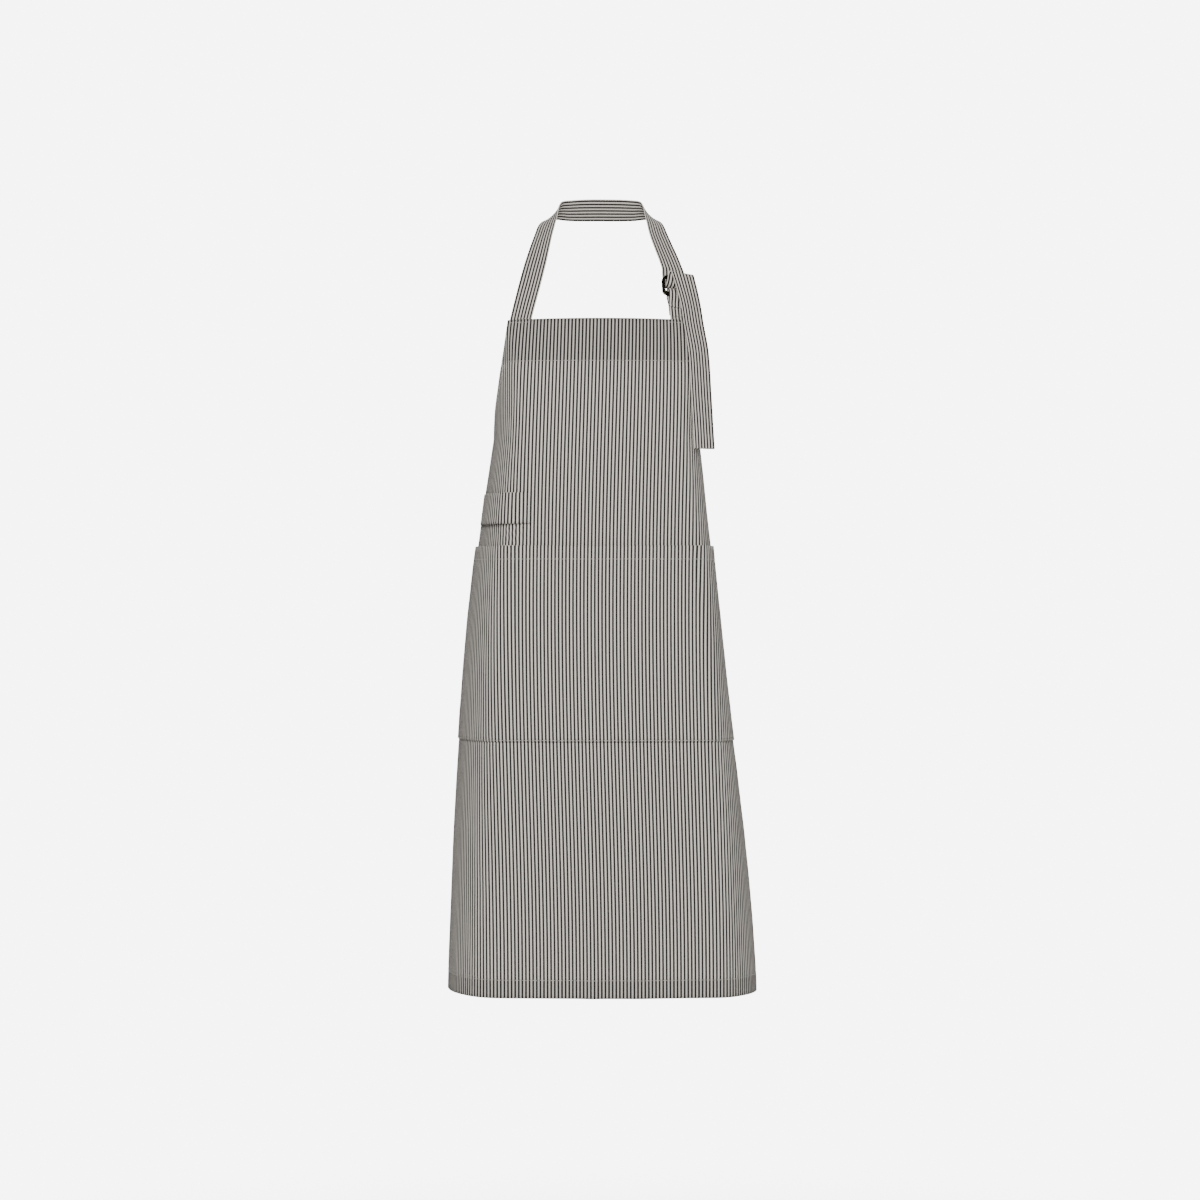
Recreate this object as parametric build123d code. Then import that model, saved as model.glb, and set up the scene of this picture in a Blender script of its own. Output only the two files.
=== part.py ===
"""Bib apron in striped cloth, draped as it hangs when worn.

Millimetres, +Z up, the bib faces -Y and +X is the side with the two rings.
The origin is the middle of the inner face of the neck strap, where it crosses the back of the neck.
Heights are measured up from the bottom hem; widths are measured along the cloth from its middle.
"""
from build123d import *
from math import copysign, cos, inf, pi, sin, sqrt
import os

# Cloth
CLOTH = 1.2                # thickness of one layer
LAYER_GAP = 0.5            # air between two layers that are sewn together
LAYER = CLOTH + LAYER_GAP  # from one layer to the next
EDGE_GAP = 0.5             # how far a turned edge stays inside the cut edge

# Flat pattern
APRON_HEIGHT = 877         # bottom hem to top of bib
HEM_DROP = 1037            # bottom hem below the origin
WAIST_HEIGHT = 600         # where the armhole meets the side edge
SIDE_HALF_WIDTH = 360      # half of the cloth's width at the bottom hem
WAIST_HALF_WIDTH = 350
BIB_HALF_WIDTH = 125       # half of the cloth's width at the top of the bib
ARMHOLE_POWER = 1.8        # how fast the armhole curves outwards
ARMHOLE_BLEND = 24         # rounding where armhole and side edge meet

# Shape that the cloth takes on the body
FRONT_DEPTH = 207          # front of the skirt ahead of the origin
CHEST_SLOPE = 45           # how far the top of the bib leans back
CHEST_START = 650          # height where the lean begins
HEM_WIDEST = 204           # half of the skirt's widest line at the bottom hem
BIB_WIDEST = 134           # the same at the bib
NARROWING_HEIGHT = 720     # the bib keeps one width above this height
NARROWING_POWER = 1.35
FRONT_SHARE_LEFT = 0.61    # part of the widest line that is nearly flat front
FRONT_SHARE_RIGHT = 0.72
FRONT_RADIUS = 1500
CORNER_SHARE = 0.51        # part of what is left that the corner takes, before the side begins
CORNER_TURN = pi * 50 / 180  # heading at which the corner becomes the side
BACK_SHARE = 1.1           # radius of the part that wraps behind, for each unit of the widest line
BIB_CURVE = 5              # how much rounder the front is at the top of the bib
BIB_FRONT = 38             # and how much wider
SWING_HEIGHT = 1000        # the hips swing most at half of this height
HIP_SHIFT = 9              # how far they swing to the left
HIP_SHARE = 0.13           # and how much wider the flat front is on their right

# Things sewn to the panel
FACING_DEPTH = 58
HEM_DEPTH = 25
EDGE_HEM = 10
POCKET_BOTTOM = 329
POCKET_TOP = 581
POCKET_HEM = 19
POCKET_FOLD = 12
POCKET_PUFF = 8            # how far the middle of the pocket's mouth stands off
LOOP_BOTTOM = 609
LOOP_TOP = 649
LOOP_INNER = 80            # towel loop's two sewn ends, from the middle of the cloth
LOOP_OUTER = 196
LOOP_PUFF = 9

# Neck strap, keeper tab and rings
STRAP = 1.6                # thickness of the doubled strap cloth
STRAP_WIDTH = 32
STRAP_INNER = 92           # strap's inner edge on the bib, from the middle of the cloth
KEEPER_WIDTH = 28
KEEPER_INNER = 96
KEEPER_SEWN = 20           # how far the keeper tab reaches down behind the bib
RING_WIRE = 3.2
RING_WIDTH = 35            # inside the ring, along the strap's width
RING_HEIGHT = 24
RING_BAR_RADIUS = 4        # corners beside the ring's straight bar
RING_TOP_RADIUS = 8
RING_APART = 0.8           # between the two rings
RING_MIDDLE = Vector(101, -109.5, -114)
LEG_OFFSET = 8             # strap's two legs, in front of the rings and behind them
FOLD_TOP = 15.5            # crest of the strap's fold over the front ring
FOLD_OUT = 12.5
FOLD_FRONT = 4             # how far the fold comes down in front before the tail begins

# Neck strap's two edges on the left side, from the bib up to the back of the neck
NECK_TOP_EDGE = [
    Vector(-72.5, -102, -88), Vector(-64, -67, -41.5), Vector(-58, -40, -13),
    Vector(-52.5, -20, 10), Vector(-40, -13, 14),
]
NECK_LOWER_EDGE = [
    Vector(-102, -88, -88), Vector(-88, -45, -38), Vector(-79.5, -19, -17),
    Vector(-62, 2, -10), Vector(-42, 8, -11),
]
NECK_BACK = [Vector(1.5, -9, 16), Vector(1.5, 11, -11)]   # both edges behind the neck

# Strap tail's inner edge, from the rings down over the outside of the bib, and the way across it
TAIL_INNER_EDGE = [
    Vector(104.5, -138, -134), Vector(109, -152, -165), Vector(115, -172, -206),
    Vector(118, -191, -266), Vector(121.5, -199, -331),
]
TAIL_ACROSS = Vector(26.5, 18, 0)
TAIL_HEM_OUT = Vector(0.6, -0.9, 0) * 2.5

# Waist ties, knot and bow
TIE_WIDTH = 28
TIE_SEWN = (296, 320, 344) # where the tie is sewn on, from the middle of the cloth
TIE_BELOW_WAIST = 18       # lower edge of the tie under the waist
KNOT = Vector(-8, 14, WAIST_HEIGHT - HEM_DROP - 4)
KNOT_SIZE = 24
GATHER = 0.7               # part of its width that a tie keeps where it enters the knot
BOW_BEHIND = 18            # bow loops behind the ties
BOW_LOOP = [(14, 3), (54, 8), (82, -36), (48, -62), (14, -6)]
BOW_RADIUS = 18
LEFT_END = 250             # lengths of the two free ends
RIGHT_END = 285


def swing(height):
    """Sideways swing of the body at a height, from 0 to 1."""
    return sin(pi * height / SWING_HEIGHT) ** 2


def half_width(height):
    """Half of the cloth's flat width at a height, with a rounded corner at the waist."""
    drop = max(APRON_HEIGHT - height, 0) / (APRON_HEIGHT - WAIST_HEIGHT)
    armhole = BIB_HALF_WIDTH + (WAIST_HALF_WIDTH - BIB_HALF_WIDTH) * drop ** ARMHOLE_POWER
    side = SIDE_HALF_WIDTH - (SIDE_HALF_WIDTH - WAIST_HALF_WIDTH) * height / WAIST_HEIGHT
    return (armhole + side - sqrt((armhole - side) ** 2 + ARMHOLE_BLEND ** 2)) / 2


def widest(height):
    """Half of the distance between the draped cloth's widest points at a height."""
    rise = min(height / NARROWING_HEIGHT, 1)
    return HEM_WIDEST - (HEM_WIDEST - BIB_WIDEST) * rise ** NARROWING_POWER


def arcs_across(height, left_side):
    """Arcs that the cloth follows from its middle to its edge, as (length, radius)."""
    reach = widest(height)
    bib_rise = max(height - NARROWING_HEIGHT, 0) / (APRON_HEIGHT - NARROWING_HEIGHT)
    share = FRONT_SHARE_LEFT if left_side else FRONT_SHARE_RIGHT + HIP_SHARE * swing(height)
    front_radius = FRONT_RADIUS / (1 + BIB_CURVE * bib_rise ** 2)
    front = share * reach + BIB_FRONT * bib_rise ** 2
    front_turn = front / front_radius
    beyond = reach - front_radius * sin(front_turn)
    corner_radius = CORNER_SHARE * beyond / (sin(CORNER_TURN) - sin(front_turn))
    side_radius = (1 - CORNER_SHARE) * beyond / (1 - sin(CORNER_TURN))
    return [
        (front, front_radius),
        ((CORNER_TURN - front_turn) * corner_radius, corner_radius),
        ((pi / 2 - CORNER_TURN) * side_radius, side_radius),
        (inf, BACK_SHARE * reach),
    ]


def drape(across, height, lift=0):
    """Place a point of the flat cloth on the body, and lift it off its surface."""
    x = y = heading = 0
    left = abs(across)
    for length, radius in arcs_across(height, across < 0):
        step = min(left, length)
        turn = step / radius
        x += radius * (sin(heading + turn) - sin(heading))
        y += radius * (cos(heading) - cos(heading + turn))
        heading += turn
        left -= step
    x += lift * sin(heading)
    y -= lift * cos(heading)
    lean = max(height - CHEST_START, 0) / (APRON_HEIGHT - CHEST_START)
    x = copysign(x, across) - HIP_SHIFT * swing(height)
    return Vector(x, y - FRONT_DEPTH + CHEST_SLOPE * lean ** 2, height - HEM_DROP)


def cloth_section(left, right, height, lift, columns):
    """Outline of one layer of cloth, cut level at a height."""
    across = [left + (right - left) * column / (columns - 1) for column in range(columns)]
    inside = [drape(s, height, lift(s, height)) for s in across]
    outside = [drape(s, height, lift(s, height) + CLOTH) for s in across]
    return Wire([
        Spline(*inside),
        Line(inside[-1], outside[-1]),
        Spline(*reversed(outside)),
        Line(outside[0], inside[0]),
    ])


def cloth(left, right, bottom, top, lift, columns=25, rows=7):
    """One layer of cloth between two edges, each given as a width across at a height."""
    heights = [bottom + (top - bottom) * row / (rows - 1) for row in range(rows)]
    sections = [cloth_section(left(h), right(h), h, lift, columns) for h in heights]
    return Solid.make_loft(sections, ruled=True)


def flat_lift(level):
    """Lift of a layer that follows the panel, counted in layers outwards."""
    return lambda across, height: level * LAYER


def left_edge(height):
    """Just inside the cloth's left edge."""
    return EDGE_GAP - half_width(height)


def right_edge(height):
    """Just inside the cloth's right edge."""
    return half_width(height) - EDGE_GAP


def full_width(bottom, top, lift, rows=3):
    """One layer of cloth from edge to edge."""
    return cloth(left_edge, right_edge, bottom, top, lift, columns=33, rows=rows)


def edge_hems(name, bottom, top, level):
    """Turned edge on the left and on the right side of the panel."""
    lift = flat_lift(level)
    return {
        name + "_left": cloth(left_edge, lambda h: EDGE_HEM - half_width(h), bottom, top, lift, columns=3),
        name + "_right": cloth(lambda h: half_width(h) - EDGE_HEM, right_edge, bottom, top, lift, columns=3),
    }


def panel():
    """Bib and skirt in one piece of cloth."""
    return cloth(lambda h: -half_width(h), half_width, 0, APRON_HEIGHT, flat_lift(0), columns=33, rows=57)


def hems():
    """Turned edges and the bib's wide facing, all on the inside of the panel."""
    facing_bottom = APRON_HEIGHT - FACING_DEPTH
    return {
        "bib_facing": full_width(facing_bottom, APRON_HEIGHT - EDGE_GAP, flat_lift(-1.1), rows=7),
        "bottom_hem": full_width(EDGE_GAP, HEM_DEPTH, flat_lift(-1)),
        **edge_hems("armhole_hem", WAIST_HEIGHT + 20, facing_bottom - 1, -1.2),
        **edge_hems("side_hem", HEM_DEPTH + 1, WAIST_HEIGHT - 30, -1),
    }


def pocket_lift(level):
    """Lift of a pocket layer: close at the sides and bottom, standing off at the mouth."""
    def lift(across, height):
        rise = (height - POCKET_BOTTOM) / (POCKET_TOP - POCKET_BOTTOM)
        middle = cos(pi / 2 * min(abs(across) / half_width(height), 1))
        return level * LAYER + POCKET_PUFF * middle ** 0.5 * rise ** 1.5
    return lift


def pocket():
    """Full-width pocket with a turned mouth and a turned-in bottom edge."""
    return {
        "pocket": full_width(POCKET_BOTTOM, POCKET_TOP, pocket_lift(2), rows=7),
        "pocket_mouth_hem": full_width(POCKET_TOP - POCKET_HEM, POCKET_TOP - EDGE_GAP, pocket_lift(1)),
        "pocket_bottom_fold": full_width(POCKET_BOTTOM + EDGE_GAP, POCKET_BOTTOM + POCKET_FOLD, pocket_lift(1)),
    }


def towel_loop():
    """Band over the left hip, sewn at both ends and arched between them."""
    def lift(across, height):
        return LAYER + LOOP_PUFF * sin(pi * (-across - LOOP_INNER) / (LOOP_OUTER - LOOP_INNER))
    return cloth(lambda h: -LOOP_OUTER, lambda h: -LOOP_INNER, LOOP_BOTTOM, LOOP_TOP, lift, columns=13, rows=3)


def ribbon(first_edge, second_edge, thickness=STRAP):
    """Flat strip of doubled cloth between two curved edges that run side by side."""
    surface = Face.make_surface_from_curves(Spline(*first_edge), Spline(*second_edge))
    return Solid.thicken(surface, thickness)


def mirrored(points):
    """The same points on the other side of the neck."""
    return [Vector(2 * NECK_BACK[0].X - point.X, point.Y, point.Z) for point in points]


def neck_strap():
    """Strap from the left corner of the bib, up and round the back of the neck, and down to the rings."""
    edges = []
    neck_edges = (NECK_TOP_EDGE, NECK_LOWER_EDGE)
    for side, sewn_at, near_neck, back in zip((-1, 1), (0, STRAP_WIDTH), neck_edges, NECK_BACK):
        sewn_end = [drape(-STRAP_INNER - sewn_at, APRON_HEIGHT - drop, -2 * LAYER - STRAP / 2) for drop in (19, 7)]
        ring_end = [closure_point(side * STRAP_WIDTH / 2, up, -LEG_OFFSET) for up in (34, 22)]
        edges.append([*sewn_end, *near_neck, back, *reversed(mirrored(near_neck[1:])), *ring_end])
    return ribbon(*edges)


def keeper_foot():
    """Middle of the keeper tab on the inside of the bib's top edge."""
    return drape(KEEPER_INNER + KEEPER_WIDTH / 2, APRON_HEIGHT, -2 * LAYER)


def closure_plane():
    """Plane of the two rings: x along the strap's width, y up the strap, z away from the body."""
    beside = drape(KEEPER_INNER + KEEPER_WIDTH / 2 + 1, APRON_HEIGHT, -2 * LAYER) - keeper_foot()
    up = (RING_MIDDLE - keeper_foot()).normalized()
    return Plane(origin=RING_MIDDLE, x_dir=beside - up * beside.dot(up), z_dir=beside.cross(up))


def closure_point(across, up, out):
    """A point given in the plane of the rings."""
    return closure_plane().from_local_coords(Vector(across, up, out))


def ring(side):
    """D-ring of round wire, straight bar below and round top: 1 is the front ring, -1 the back one."""
    half_across = (RING_WIDTH + RING_WIRE) / 2
    half_up = (RING_HEIGHT + RING_WIRE) / 2
    corners = [(x * half_across, y * half_up) for x, y in ((-1, -1), (1, -1), (1, 1), (-1, 1))]
    radii = [RING_BAR_RADIUS, RING_BAR_RADIUS, RING_TOP_RADIUS, RING_TOP_RADIUS]
    line = FilletPolyline(*corners, radius=radii, close=True)
    path = closure_plane().offset(side * (RING_WIRE + RING_APART) / 2) * Wire(line.edges())
    start = Plane(origin=path @ 0, z_dir=path % 0)
    return sweep(start * Circle(RING_WIRE / 2), path)


def bent_strip(points, radii, thickness, width):
    """Strip of cloth seen from its edge: a bent line of (out, up) points in the closure's frame."""
    line = FilletPolyline(*points, radius=radii)
    outline = Wire(line.edges()).offset_2d(thickness / 2, kind=Kind.ARC, side=Side.BOTH, closed=True)
    plane = closure_plane()
    edge_on = Plane(origin=plane.origin, x_dir=plane.z_dir, z_dir=-plane.x_dir)
    return extrude(edge_on * make_face(outline), width / 2, both=True)


def keeper_tab():
    """Tab sewn behind the bib's corner, folded over the rings' straight bars and sewn to itself below them."""
    bar = -(RING_HEIGHT + RING_WIRE) / 2
    around = RING_WIRE + 1.6
    foot = 4.5 - (RING_MIDDLE - keeper_foot()).length
    folded = bent_strip(
        [(-0.8, foot), (-around, bar - 8), (-around, bar + 4.4), (around, bar + 4.4), (around, bar - 8),
         (-0.6, bar - 17), (-0.6, bar - 20)],
        [8, 3.6, 3.6, 5, 2], CLOTH, KEEPER_WIDTH,
    )
    sewn = cloth(
        lambda h: KEEPER_INNER, lambda h: KEEPER_INNER + KEEPER_WIDTH,
        APRON_HEIGHT - KEEPER_SEWN, APRON_HEIGHT + 5, flat_lift(-2), columns=9, rows=3,
    )
    return folded + sewn


def strap_turn():
    """The strap's way through the rings: down behind them, under the top bars and back over the front one."""
    under = RING_HEIGHT / 2 - 4.5
    return bent_strip(
        [(-LEG_OFFSET, 20.9), (-LEG_OFFSET, under), (LEG_OFFSET, under), (LEG_OFFSET, FOLD_TOP),
         (FOLD_OUT, FOLD_TOP), (FOLD_OUT, FOLD_TOP - FOLD_FRONT)],
        [4, 4, 2.2, 2.2], STRAP, STRAP_WIDTH,
    )


def strap_tail():
    """Free end of the strap, hanging outside the bib from its fold over the front ring."""
    starts = (FOLD_TOP - FOLD_FRONT - 1.2, FOLD_TOP - FOLD_FRONT - 5)
    inner_fold, outer_fold = [
        [closure_point(side * STRAP_WIDTH / 2, up, FOLD_OUT) for up in starts] for side in (-1, 1)
    ]
    inner_edge = [*inner_fold, *TAIL_INNER_EDGE]
    outer_edge = [*outer_fold, *[point + TAIL_ACROSS for point in TAIL_INNER_EDGE]]
    hem_run = TAIL_INNER_EDGE[-1] - TAIL_INNER_EDGE[-2]
    hem_edge = [TAIL_INNER_EDGE[-2] + hem_run * share + TAIL_HEM_OUT for share in (0.72, 0.98)]
    return {
        "strap_tail": ribbon(inner_edge, outer_edge),
        "strap_tail_hem": ribbon(hem_edge, [point + TAIL_ACROSS for point in hem_edge], CLOTH),
    }


def waist_tie(side):
    """Tie sewn inside one side edge of the apron, running round to the knot and gathered there."""
    edges = []
    for up in (0, TIE_WIDTH):
        height = WAIST_HEIGHT - TIE_BELOW_WAIST + up
        edge = [drape(side * across, height, -3 * LAYER - STRAP) for across in TIE_SEWN]
        above_knot = height - HEM_DROP - KNOT.Z
        for beside, behind, kept in ((28, 1, 1), (0.8, 0, GATHER)):
            edge.append(KNOT + Vector(side * (KNOT_SIZE / 2 + beside), -behind, kept * above_knot))
        edges.append(edge)
    return ribbon(*edges)


def bow_loop(side):
    """Teardrop loop of tie hanging out from the knot."""
    line = FilletPolyline(*[(side * x, z) for x, z in BOW_LOOP], radius=[BOW_RADIUS] * 3)
    outline = Wire(line.edges()).offset_2d(STRAP / 2, kind=Kind.ARC, side=Side.BOTH, closed=True)
    plane = Plane(origin=KNOT + Vector(0, BOW_BEHIND, 0), x_dir=(1, 0, 0), z_dir=(0, -1, 0))
    return extrude(plane * make_face(outline), TIE_WIDTH / 2 - 3, both=True)


def tie_end(side, length):
    """Free end of one tie, hanging below the knot."""
    start = KNOT + Vector(side * 9, -2, -KNOT_SIZE / 2 - 0.5)
    drops = [0, 0.3, 0.65, 1]
    path = [start + Vector(side * (14 * drop + 6 * drop ** 2), 3 * sin(2 * pi * drop), -length * drop) for drop in drops]
    half = Vector(TIE_WIDTH / 2 - 6, 0, 0)
    return ribbon([point - half for point in path], [point + half for point in path])


def knot():
    """Knot that holds the two ties at the middle of the back."""
    block = Box(KNOT_SIZE, KNOT_SIZE + BOW_BEHIND / 2, KNOT_SIZE)
    return Pos(KNOT + Vector(0, BOW_BEHIND / 3, 0)) * fillet(block.edges(), KNOT_SIZE / 3)


def bartacks():
    """Dense rows of stitches that hold the pocket's corners and the towel loop's ends."""
    places = [(side * (half_width(POCKET_TOP) - 7), POCKET_TOP - 6, 3) for side in (-1, 1)]
    places += [(-LOOP_INNER - 4, height, 2) for height in (LOOP_BOTTOM + 6, LOOP_TOP - 6)]
    tacks = []
    for across, height, layers in places:
        tack = cloth(
            lambda h: across - 1, lambda h: across + 1, height - 4, height + 4,
            lambda s, h: layers * LAYER + 1, columns=3, rows=3,
        )
        tacks.append(tack)
    return Compound(children=tacks)


def build():
    """Every piece of the apron by name."""
    return {
        "front_panel": panel(),
        **hems(),
        **pocket(),
        "towel_loop": towel_loop(),
        "neck_strap": neck_strap(),
        "keeper_tab": keeper_tab(),
        "ring_front": ring(1),
        "ring_back": ring(-1),
        "strap_turn": strap_turn(),
        **strap_tail(),
        "bartacks": bartacks(),
        "waist_tie_left": waist_tie(-1),
        "waist_tie_right": waist_tie(1),
        "tie_knot": knot(),
        "bow_loop_left": bow_loop(-1),
        "bow_loop_right": bow_loop(1),
        "tie_end_left": tie_end(-1, LEFT_END),
        "tie_end_right": tie_end(1, RIGHT_END),
    }


os.makedirs("parts", exist_ok=True)
for name, solid in build().items():
    print(name, solid.is_valid, round(solid.volume))
    export_step(solid, f"parts/{name}.step")
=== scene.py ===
"""Striped bib apron: its cloth, straps, rings and bow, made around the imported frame.

Metres, +Z up, the bib faces -Y. Heights are measured up from the bottom hem, and widths along the
flat cloth from its middle, so that the woven stripes run true wherever the cloth bends.
"""

from math import copysign, cos, exp, inf, pi, sin, sqrt

import bpy
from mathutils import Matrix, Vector, noise
from mathutils.geometry import interpolate_bezier


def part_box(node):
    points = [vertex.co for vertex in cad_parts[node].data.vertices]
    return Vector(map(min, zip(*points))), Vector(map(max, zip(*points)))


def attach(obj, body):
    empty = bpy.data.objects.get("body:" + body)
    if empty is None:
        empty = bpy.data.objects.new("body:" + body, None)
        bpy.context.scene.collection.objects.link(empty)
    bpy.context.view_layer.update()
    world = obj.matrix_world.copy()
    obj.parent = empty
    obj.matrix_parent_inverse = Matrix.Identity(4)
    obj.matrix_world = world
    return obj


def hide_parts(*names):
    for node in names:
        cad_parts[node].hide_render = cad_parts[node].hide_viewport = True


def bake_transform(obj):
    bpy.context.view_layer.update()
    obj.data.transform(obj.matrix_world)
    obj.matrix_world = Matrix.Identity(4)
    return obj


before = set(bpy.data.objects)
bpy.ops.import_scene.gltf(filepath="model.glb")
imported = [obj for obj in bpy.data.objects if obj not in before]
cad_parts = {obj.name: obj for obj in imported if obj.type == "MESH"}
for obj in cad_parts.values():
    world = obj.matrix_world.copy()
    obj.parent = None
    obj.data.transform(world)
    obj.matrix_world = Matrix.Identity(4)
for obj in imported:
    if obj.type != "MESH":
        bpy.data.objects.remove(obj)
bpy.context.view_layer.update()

APRON = "apron"

# Cloth
CLOTH = 0.0006             # thickness of one layer
LAYER = 0.0008             # from one layer to the next
EDGE_GAP = 0.0005          # how far a turned edge stays inside the cut edge
STRIPE_PITCH = 0.00463
YARN = 0.00052             # from one yarn to the next

# Flat pattern
HEM_DROP = -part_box("front_panel")[0][2]
APRON_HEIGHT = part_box("front_panel")[1][2] + HEM_DROP
WAIST_HEIGHT = 0.600
SIDE_HALF_WIDTH = 0.360    # at the bottom hem
WAIST_HALF_WIDTH = 0.350
BIB_HALF_WIDTH = 0.125
ARMHOLE_POWER = 1.8
ARMHOLE_BLEND = 0.024      # rounding of the corner between armhole and side

# Shape that the cloth takes on the body
FRONT_DEPTH = 0.207        # from the origin forward to the front of the skirt
CHEST_SLOPE = 0.045        # how far back the top of the bib leans
CHEST_START = 0.650
HEM_WIDEST = 0.204         # half of the draped width at the hem
BIB_WIDEST = 0.134         # and at the bib
NARROWING_HEIGHT = 0.720   # above this height the draped width stays the same
NARROWING_POWER = 1.35
FRONT_SHARE_LEFT = 0.61    # nearly flat front's share of the draped half width
FRONT_SHARE_RIGHT = 0.72
FRONT_RADIUS = 1.5
CORNER_SHARE = 0.51        # share of the rest that the corner between front and side takes
CORNER_TURN = pi * 50 / 180
BACK_SHARE = 1.1           # radius behind the widest point, as a share of the draped half width
BIB_CURVE = 5              # how much rounder the top of the bib is than the skirt
BIB_FRONT = 0.038          # how much wider its front is
HIP_SHIFT = 0.009          # sideways swing of the waist and hips
HIP_SHARE = 0.13

# Soft folds and dents, as how far each lifts the cloth
FOLDS_END = 0.36           # height where the skirt's folds fade out
MIDDLE_FOLD = 0.0030
SECOND_FOLD = 0.0015
SKIRT_WAVES = 0.0026
SOFT_DENTS = 0.0009
FINE_DENTS = 0.0003
HIP_WRINKLES = 0.0013      # slanting, under the towel loop
SEAM_SINK = 0.0003         # along each row of stitches
SEAM_PUCKER = 0.0004
STRAP_WRINKLES = 0.0004

# Things sewn to the panel
FACING_BOTTOM = APRON_HEIGHT - 0.058
HEM_DEPTH = 0.025
EDGE_HEM = 0.010
POCKET_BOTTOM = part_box("pocket")[0][2] + HEM_DROP
POCKET_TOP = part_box("pocket")[1][2] + HEM_DROP
POCKET_HEM = 0.019
POCKET_FOLD = 0.012
POCKET_PUFF = 0.0025       # how far the middle of the pocket's mouth stands off
POCKET_WAVES = 0.0005
LOOP_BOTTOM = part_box("towel_loop")[0][2] + HEM_DROP
LOOP_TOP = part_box("towel_loop")[1][2] + HEM_DROP
LOOP_INNER = 0.080
LOOP_OUTER = 0.196
LOOP_PUFF = 0.0030

# Neck strap, keeper tab and rings
STRAP = 0.0014
STRAP_WIDTH = 0.032
STRAP_INNER = 0.092
STRAP_SEWN = (0.019, 0.007)  # its sewn end, as drops below the top of the bib
SEWN_INSIDE = -2 * LAYER - STRAP / 2  # lift of a strap that is sewn inside a turned edge
KEEPER_WIDTH = 0.028
KEEPER_INNER = 0.096
KEEPER_SEWN = 0.020
KEEPER_BEHIND = 0.0034     # from the bib to the plane where the tab starts
KEEPER_AROUND = 0.0046     # half of the loop's depth over the two straight bars
KEEPER_SLACK = 0.0086      # how far the loop stands above them
RING_WIRE = 0.0032
RING_APART = 0.0008
RING_WIDTH = 0.035
RING_HEIGHT = 0.024
RING_BAR_RADIUS = 0.004
RING_TOP_RADIUS = 0.008
RING_MIDDLE = Vector((0.101, -0.1095, -0.114))
LEG_OFFSET = 0.008         # strap's two legs, in front of the rings and behind them
BACK_LEG = (0.034, 0.022, 0.014)  # way down behind the rings, as heights above their middle

# Waist ties and knot
TIE_WIDTH = 0.028
BOW_WIDTH = 0.022          # gathered from the tie's width
END_WIDTH = 0.016
END_OUT = 0.009            # tie end's start beside the middle of the knot
END_SLANT = 0.003
TIE_BELOW_WAIST = 0.018
# Where a tie is sewn on, as (from the middle of the cloth, sunk inwards)
TIE_SEWN = ((0.296, 0), (0.320, 0.0004), (0.344, 0.0020))
# How it enters the knot, as (beside the knot, in front of it, share of its width kept)
TIE_INTO_KNOT = ((0.040, 0.007, 1), (0.024, 0.006, 0.9), (0.0125, 0.006, 0.62))
KNOT_LOW, KNOT_HIGH = [Vector(corner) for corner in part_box("tie_knot")]
KNOT = (KNOT_LOW + KNOT_HIGH) / 2


def millimetres(*points):
    """Points given in millimetres."""
    return [Vector(point) / 1000 for point in points]


# Neck strap's two edges on the left side, from the bib up to the back of the neck
NECK_TOP_EDGE = millimetres(
    (-72.5, -102, -88), (-64, -67, -41.5), (-58, -40, -13), (-52.5, -20, 10), (-40, -13, 14),
)
NECK_LOWER_EDGE = millimetres(
    (-102, -88, -88), (-88, -45, -38), (-79.5, -19, -17), (-62, 2, -10), (-42, 8, -11),
)
NECK_BACK = millimetres((1.5, -9, 16), (1.5, 11, -11))
# Strap tail's inner edge, from the rings down over the outside of the bib, and the way across it
TAIL_INNER_EDGE = millimetres(
    (104.5, -138, -134), (109, -152, -165), (115, -172, -206), (118, -191, -266), (121.5, -199, -331),
)
TAIL_ACROSS = Vector((0.0265, 0.018, 0))


# ---------------------------------------------------------------- shape of the cloth

def swing(height):
    """Sideways swing of the body at a height, from 0 to 1."""
    return sin(pi * height) ** 2


def half_width(height):
    """Half of the cloth's flat width at a height, with a rounded corner at the waist."""
    drop = max(APRON_HEIGHT - height, 0) / (APRON_HEIGHT - WAIST_HEIGHT)
    armhole = BIB_HALF_WIDTH + (WAIST_HALF_WIDTH - BIB_HALF_WIDTH) * drop ** ARMHOLE_POWER
    side = SIDE_HALF_WIDTH - (SIDE_HALF_WIDTH - WAIST_HALF_WIDTH) * height / WAIST_HEIGHT
    return (armhole + side - sqrt((armhole - side) ** 2 + ARMHOLE_BLEND ** 2)) / 2


def widest(height):
    """Half of the distance between the draped cloth's widest points at a height."""
    rise = min(max(height, 0) / NARROWING_HEIGHT, 1)
    return HEM_WIDEST - (HEM_WIDEST - BIB_WIDEST) * rise ** NARROWING_POWER


def arcs_across(height, left_side):
    """Arcs that the cloth follows from its middle to its edge, as (length, radius)."""
    reach = widest(height)
    bib_rise = max(height - NARROWING_HEIGHT, 0) / (APRON_HEIGHT - NARROWING_HEIGHT)
    share = FRONT_SHARE_LEFT if left_side else FRONT_SHARE_RIGHT + HIP_SHARE * swing(height)
    front_radius = FRONT_RADIUS / (1 + BIB_CURVE * bib_rise ** 2)
    front = share * reach + BIB_FRONT * bib_rise ** 2
    front_turn = front / front_radius
    beyond = reach - front_radius * sin(front_turn)
    corner_radius = CORNER_SHARE * beyond / (sin(CORNER_TURN) - sin(front_turn))
    side_radius = (1 - CORNER_SHARE) * beyond / (1 - sin(CORNER_TURN))
    return [
        (front, front_radius),
        ((CORNER_TURN - front_turn) * corner_radius, corner_radius),
        ((pi / 2 - CORNER_TURN) * side_radius, side_radius),
        (inf, BACK_SHARE * reach),
    ]


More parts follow.
